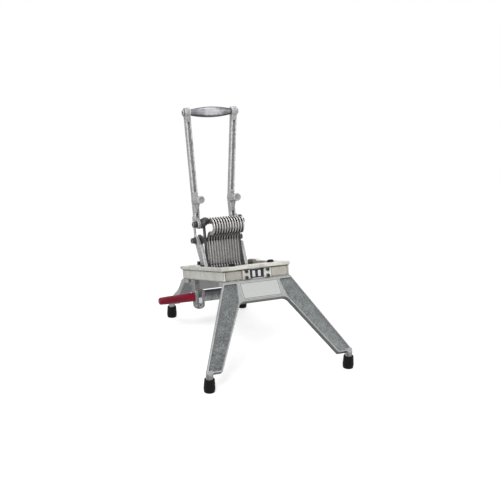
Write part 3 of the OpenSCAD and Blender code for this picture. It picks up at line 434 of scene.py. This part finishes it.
# Blades: thirteen ground stainless strips, honed along the upper edge and stretched between two bars.
# Grinding lines run along them, and the honed bevel is brighter than the flanks.
GRIND_LINES = (400.0, 10.0, 900.0)
BLADE_LIGHT = (0.56, 0.57, 0.60, 1.0)
BLADE_DARK = (0.38, 0.39, 0.42, 1.0)
BLADE_DIRT_AND_SHADE = (0.10, 0.10, 0.10, 1.0)
BLADE_HONED = (0.80, 0.81, 0.84, 1.0)
blade_steel = worn_metal("blade steel", BLADE_LIGHT, BLADE_DARK, BLADE_DIRT_AND_SHADE, metal=0.8, rough=0.24,
                         relief=0.02, rub=0.2, soil_and_shade=0.6, reach=0.004, edge_reach=0.0004, pitting=0.0)
tree = blade_steel.node_tree
lines = streaks(tree, GRIND_LINES, DECK_SLOPE)
lay_over(blade_steel, spread(tree, lines, 0.48, 0.66, 0.0, 0.6), BLADE_DARK)
honed = spread(tree, along(tree, deck_up, source="Normal"), 0.05, 0.2)
lay_over(blade_steel, both(tree, honed, 0.8), BLADE_HONED)
finish_with(blade_steel, ["slicing_blades"])

# Clamps and pads: bright steel blocks. Two in the front window draw the blades tight, and one in each
# hanger's slot bears on the rod.
CLAMP_PIECES = ("tension_clamps", "clamp_pads")
CLAMP_LIGHT = (0.76, 0.77, 0.80, 1.0)
CLAMP_DARK = (0.60, 0.61, 0.64, 1.0)
CLAMP_DIRT_AND_SHADE = (0.2, 0.2, 0.2, 1.0)
clamp_steel = worn_metal("clamp steel", CLAMP_LIGHT, CLAMP_DARK, CLAMP_DIRT_AND_SHADE, metal=0.8, rough=0.24,
                         relief=0.02, rub=0.2, soil_and_shade=0.4, reach=0.003, edge_reach=0.0004, pitting=0.0)
soften(CLAMP_PIECES, radius=0.0005)
finish_with(clamp_steel, CLAMP_PIECES)

# Dark steel: the blade bars and the screws in the front window, and the lever's end plates, tie rod,
# spacers, washers and collars, with the hold-down's rod. Cut from bar and plate, and blackened
# against rust.
BLACKENED_PIECES = ("front_blade_bar", "rear_blade_bar", "left_end_plate", "right_end_plate",
                    "rear_tie_rod", "tine_spacers", "pivot_spacers", "hold_down_rod", "bolt_washers",
                    "window_screws", "thrust_collars")
BLACKENED_LIGHT = (0.075, 0.073, 0.08, 1.0)
BLACKENED_DARK = (0.03, 0.029, 0.034, 1.0)
BLACKENED_DIRT_AND_SHADE = (0.012, 0.012, 0.012, 1.0)
dark_steel = worn_metal("dark steel", BLACKENED_LIGHT, BLACKENED_DARK, BLACKENED_DIRT_AND_SHADE, metal=0.6,
                        rough=0.4, relief=0.08, rub=0.12, edge_reach=0.001)
soften(BLACKENED_PIECES, radius=0.0006)
finish_with(dark_steel, BLACKENED_PIECES)

# Bushes: two plain bearings for the pivot shaft. Turned from bronze and pressed in the deck's
# side walls.
BUSH_PIECES = ("left_pivot_bush", "right_pivot_bush")
BRONZE_LIGHT = (0.24, 0.16, 0.085, 1.0)
BRONZE_DARK = (0.12, 0.08, 0.045, 1.0)
BRONZE_DIRT_AND_SHADE = (0.03, 0.022, 0.015, 1.0)
bronze = worn_metal("bush bronze", BRONZE_LIGHT, BRONZE_DARK, BRONZE_DIRT_AND_SHADE, metal=0.9, rough=0.38,
                    relief=0.04, rub=0.15)
soften(BUSH_PIECES, radius=0.0004)
finish_with(bronze, BUSH_PIECES)

# Hangers and sleeve: two cast clamps under the deck's side walls pinch the hold-down rod, and a cast
# sleeve keeps them apart. Sand cast like the legs; the top of the sleeve is painted dark as shade under the
# deck.
HANGER_PIECES = ("left_hanger_clamp", "right_hanger_clamp")
SHADE_LINE = (-0.004, 0.003)
SHADE_RAGGED = 0.003
HANGER_LIGHT = (0.32, 0.32, 0.315, 1.0)
HANGER_DARK = (0.07, 0.07, 0.075, 1.0)
HANGER_DIRT_AND_SHADE = (0.02, 0.02, 0.02, 1.0)
SLEEVE_LIGHT = (0.48, 0.48, 0.475, 1.0)
SLEEVE_PAINTED_SHADE = (0.085, 0.085, 0.105, 1.0)
hanger_alloy = worn_metal("hanger alloy", HANGER_LIGHT, HANGER_DARK, HANGER_DIRT_AND_SHADE, metal=0.35, rough=0.48,
                          relief=0.4, rub=0.6, soil_and_shade=1.0, reach=0.010, edge_reach=0.003)
sleeve_alloy = worn_metal("sleeve alloy", SLEEVE_LIGHT, HANGER_DARK, HANGER_DIRT_AND_SHADE, metal=0.35, rough=0.44,
                          relief=0.3, rub=0.3, soil_and_shade=1.0, reach=0.010)
tree = sleeve_alloy.node_tree
# the top of the sleeve is painted dark as shade, above a ragged line over the rod
over_rod = along(tree, deck_up, middle_of("hold_down_rod"))
patches = noise(tree, here(tree), scale=90.0, detail=3.0)
over_rod = calc(tree, "ADD", over_rod, spread(tree, patches, 0.3, 0.7, -SHADE_RAGGED, SHADE_RAGGED))
lay_over(sleeve_alloy, spread(tree, over_rod, *SHADE_LINE, 0.0, 0.85), SLEEVE_PAINTED_SHADE)
cast_skin((*HANGER_PIECES, "hold_down_sleeve"), grain=0.0008, passes=4)
finish_with(hanger_alloy, HANGER_PIECES)
finish_with(sleeve_alloy, ["hold_down_sleeve"])

# Hold-down grip: a handle of crimson vinyl, dipped on the rod's left end. The dip has run along it,
# and the hand has rubbed it glossy.
VINYL_RUNS = (12.0, 160.0, 160.0)
CRIMSON = (0.32, 0.005, 0.035, 1.0)
CRIMSON_DEEP = (0.15, 0.002, 0.015, 1.0)
CRIMSON_GRIME_AND_SHADE = (0.05, 0.004, 0.01, 1.0)
vinyl = bpy.data.materials.new("crimson vinyl")
vinyl.use_nodes = True
tree = vinyl.node_tree
surface = tree.nodes["Principled BSDF"]
surface.inputs["Specular IOR Level"].default_value = 0.25
runs = streaks(tree, VINYL_RUNS, detail=3.0)
grit = noise(tree, here(tree), scale=900.0)
grime_and_shade = put(tree, "Group", {"Reach": 0.01}, node_tree=corner_dirt_and_shade)
red = tint(tree, spread(tree, runs, 0.38, 0.66), CRIMSON_DEEP, CRIMSON)
# the hollows are darkened with grime and painted shade
red = tint(tree, both(tree, grime_and_shade.outputs["Mask"], 0.5), red, CRIMSON_GRIME_AND_SHADE)
tree.links.new(red, surface.inputs["Base Color"])
tree.links.new(spread(tree, runs, 0.3, 0.7, 0.45, 0.3), surface.inputs["Roughness"])
rise = calc(tree, "ADD", runs, both(tree, grit, 0.3))
bump = put(tree, "Bump", {"Height": rise, "Strength": 0.25, "Distance": 0.0006})
tree.links.new(bump.outputs["Normal"], surface.inputs["Normal"])
soften(["hold_down_grip"], radius=0.0006)
finish_with(vinyl, ["hold_down_grip"])

# Lever arms: two aluminium sand castings, a grooved bar each with a stop peg and bolt lugs. Left
# rough from the mould and rubbed bright along the edges; the pegs' tips are painted darker as shade.
ARM_PIECES = ("left_lever_arm", "right_lever_arm")
PEG_TIP = Vector((0.0474, 0.1427, 0.3204))
PEG_RADIUS = 0.0095
PEG_EDGE = (PEG_RADIUS + 0.001, PEG_RADIUS - 0.0005)
PEG_SHADE_TONES = ((0.13, 0.13, 0.135, 1.0), (0.38, 0.38, 0.39, 1.0))
ARM_LIGHT = (0.54, 0.54, 0.55, 1.0)
ARM_DARK = (0.20, 0.20, 0.21, 1.0)
ARM_DIRT_AND_SHADE = (0.05, 0.05, 0.055, 1.0)
arm_alloy = worn_metal("arm alloy", ARM_LIGHT, ARM_DARK, ARM_DIRT_AND_SHADE, metal=0.3, rough=0.46,
                       relief=0.5, rub=0.9, soil_and_shade=0.8, reach=0.006, edge_reach=0.004)
tree = arm_alloy.node_tree
folded = put(tree, "VectorMath", {0: here(tree)}, operation="ABSOLUTE").outputs[0]
off_tip = put(tree, "VectorMath", {0: folded, 1: PEG_TIP}, operation="DISTANCE").outputs["Value"]
skin = put(tree, "Group", {"Grain": 0.8}, node_tree=sand_skin)
# the pegs' tips are painted darker as shade
at_tip = spread(tree, off_tip, *PEG_EDGE, 0.0, 0.85)
lay_over(arm_alloy, at_tip, tint(tree, skin.outputs["Tone"], *PEG_SHADE_TONES))
cast_skin(ARM_PIECES, grain=0.0008, passes=8)
finish_with(arm_alloy, ARM_PIECES)

# Lever grip: a barrel turned from aluminium bar and screwed between the arms' heads. Fine rings are
# left from the lathe; its top and bottom are painted dark as reflection, and the ends are dull.
REFLECTION_AXIS = Vector((0.0, -0.97, 0.25)).normalized()
GRIP_RINGS = (1500.0, 6.0, 6.0)
DULL_FROM = (0.012, 0.036)
DULL_RAGGED = 0.008
REFLECTION_RAGGED = 0.06
GRIP_LIGHT = (0.62, 0.62, 0.645, 1.0)
GRIP_DARK = (0.46, 0.46, 0.485, 1.0)
GRIP_DIRT_AND_SHADE = (0.06, 0.06, 0.065, 1.0)
GRIP_RING_TONE = (0.34, 0.34, 0.36, 1.0)
GRIP_PAINTED_REFLECTION = (0.06, 0.06, 0.068, 1.0)
GRIP_DULL = (0.13, 0.13, 0.145, 1.0)
grip_alloy = worn_metal("grip alloy", GRIP_LIGHT, GRIP_DARK, GRIP_DIRT_AND_SHADE, metal=1.0, rough=0.34,
                        relief=0.05, rub=0.2, soil_and_shade=0.9, reach=0.012)
tree = grip_alloy.node_tree
lay_over(grip_alloy, spread(tree, streaks(tree, GRIP_RINGS), 0.5, 0.7, 0.0, 0.35), GRIP_RING_TONE)
patches = noise(tree, here(tree), scale=70.0, detail=3.0)
off_middle = calc(tree, "ABSOLUTE", along(tree, ACROSS))
off_middle = calc(tree, "ADD", off_middle, spread(tree, patches, 0.3, 0.7, -DULL_RAGGED, DULL_RAGGED))
lay_over(grip_alloy, spread(tree, off_middle, *DULL_FROM, 0.0, 0.85), GRIP_DULL)
patches = noise(tree, here(tree), scale=120.0, detail=3.0)
# faces that turn away from the front and back are painted dark as reflection
wear_and_reflection = calc(tree, "ABSOLUTE", along(tree, REFLECTION_AXIS, source="Normal"))
wear_and_reflection = calc(tree, "ADD", wear_and_reflection, spread(tree, patches, 0.3, 0.7, -REFLECTION_RAGGED, REFLECTION_RAGGED))
lay_over(grip_alloy, spread(tree, wear_and_reflection, 0.9, 0.6, 0.0, 0.95), GRIP_PAINTED_REFLECTION)
soften(["lever_grip"], radius=0.0008)
finish_with(grip_alloy, ["lever_grip"])

# Tines: twelve hooked stainless strips, threaded on the pivot shaft and the top rod. The edges of
# their hooks are partly polished and partly painted highlight, and their flanks are dark.
TINE_PIECES = ("pusher_tines", "pivot_shaft", "top_rod")
HOOK_POLISH_AND_HIGHLIGHT = (0.075, 0.1)
TINE_LIGHT = (0.34, 0.322, 0.31, 1.0)
TINE_DARK = (0.11, 0.102, 0.098, 1.0)
TINE_DIRT_AND_SHADE = (0.012, 0.010, 0.010, 1.0)
TINE_EDGE_HIGHLIGHT = (0.72, 0.705, 0.70, 1.0)
tine_steel = worn_metal("tine steel", TINE_LIGHT, TINE_DARK, TINE_DIRT_AND_SHADE, metal=0.6, rough=0.26,
                        relief=0.04, rub=0.5, soil_and_shade=1.0, reach=0.012, edge_reach=0.0008)
tree = tine_steel.node_tree
edgewise = spread(tree, calc(tree, "ABSOLUTE", along(tree, ACROSS, source="Normal")), 0.6, 0.3)
over_pivot = along(tree, deck_up, middle_of("pivot_shaft"))
patches = noise(tree, here(tree), scale=150.0, detail=3.0)
polish_and_highlight = spread(tree, over_pivot, *HOOK_POLISH_AND_HIGHLIGHT, 0.25, 0.9)
polish_and_highlight = both(tree, polish_and_highlight, spread(tree, patches, 0.3, 0.6, 0.6, 1.0))
# the hook edges are lightened as polish and painted highlight
lay_over(tine_steel, both(tree, edgewise, polish_and_highlight), TINE_EDGE_HIGHLIGHT)
soften(TINE_PIECES, radius=0.0003, steps=2)
finish_with(tine_steel, TINE_PIECES)

# Studio: a pale paper floor that fades into a white surround, three soft lamps, and the camera where
# the picture was taken.
FLOOR_REACH = 3.0
FLOOR_FADE = (0.55, 1.3)
FLOOR_GLOW = 0.62
WORLD_LIGHT = 0.4
WHITE = (1.0, 1.0, 1.0, 1.0)
PAPER = (0.6, 0.6, 0.6, 1.0)
floor_mesh = bpy.data.meshes.new("floor")
corners = [(-FLOOR_REACH, -FLOOR_REACH, 0), (FLOOR_REACH, -FLOOR_REACH, 0),
           (FLOOR_REACH, FLOOR_REACH, 0), (-FLOOR_REACH, FLOOR_REACH, 0)]
floor_mesh.from_pydata(corners, [], [(0, 1, 2, 3)])
floor = bpy.data.objects.new("floor", floor_mesh)
bpy.context.scene.collection.objects.link(floor)


def seen_ray(tree):
    """One for rays that show the backdrop itself, zero for those that light the object."""
    path = put(tree, "LightPath")
    direct = calc(tree, "MAXIMUM", path.outputs["Is Camera Ray"], path.outputs["Is Transmission Ray"])
    return calc(tree, "MAXIMUM", direct, path.outputs["Is Glossy Ray"])


paper = bpy.data.materials.new("pale floor")
paper.use_nodes = True
tree = paper.node_tree
surface = tree.nodes["Principled BSDF"]
surface.inputs["Base Color"].default_value = PAPER
surface.inputs["Roughness"].default_value = 0.9
surface.inputs["Specular IOR Level"].default_value = 0.0
surface.inputs["Emission Color"].default_value = WHITE
tree.links.new(both(tree, seen_ray(tree), FLOOR_GLOW), surface.inputs["Emission Strength"])
away = put(tree, "VectorMath", {0: here(tree)}, operation="LENGTH").outputs["Value"]
tree.links.new(spread(tree, away, *FLOOR_FADE, 1.0, 0.0), surface.inputs["Alpha"])
floor_mesh.materials.append(paper)

world = bpy.data.worlds.new("studio")
bpy.context.scene.world = world
world.use_nodes = True
tree = world.node_tree
backdrop = tree.nodes["Background"]
backdrop.inputs["Color"].default_value = WHITE
tree.links.new(spread(tree, seen_ray(tree), 0.0, 1.0, WORLD_LIGHT, 1.0), backdrop.inputs["Strength"])

LAMP_SIZE = 1.2
LAMP_AIM = Vector((0.0, 0.0, 0.2))
LAMPS = (("key lamp", Vector((-1.3, -1.5, 2.2)), 44.0),
         ("fill lamp", Vector((1.8, -0.9, 1.3)), 9.0),
         ("top lamp", Vector((0.2, 0.8, 2.4)), 14.0))
for name, spot, power in LAMPS:
    lamp = bpy.data.lights.new(name, "AREA")
    lamp.size = LAMP_SIZE
    lamp.energy = power
    holder = bpy.data.objects.new(name, lamp)
    holder.location = spot
    holder.rotation_euler = (LAMP_AIM - spot).to_track_quat("-Z", "Y").to_euler()
    bpy.context.scene.collection.objects.link(holder)

CAMERA_SPOT = Vector((-0.7313, -1.6869, 0.7630))
CAMERA_AIM = Vector((0.0343, 0.0325, 0.2162))
CAMERA_ROLL = math.radians(1.0)
CAMERA_LENS = 59.76
camera = bpy.data.objects.new("camera", bpy.data.cameras.new("camera"))
camera.data.lens = CAMERA_LENS
camera.location = CAMERA_SPOT
facing = (CAMERA_AIM - CAMERA_SPOT).to_track_quat("-Z", "Y").to_matrix()
camera.rotation_euler = (facing @ Matrix.Rotation(CAMERA_ROLL, 3, "Z")).to_euler()
bpy.context.scene.collection.objects.link(camera)
bpy.context.scene.camera = camera
bpy.context.scene.view_settings.view_transform = "Standard"
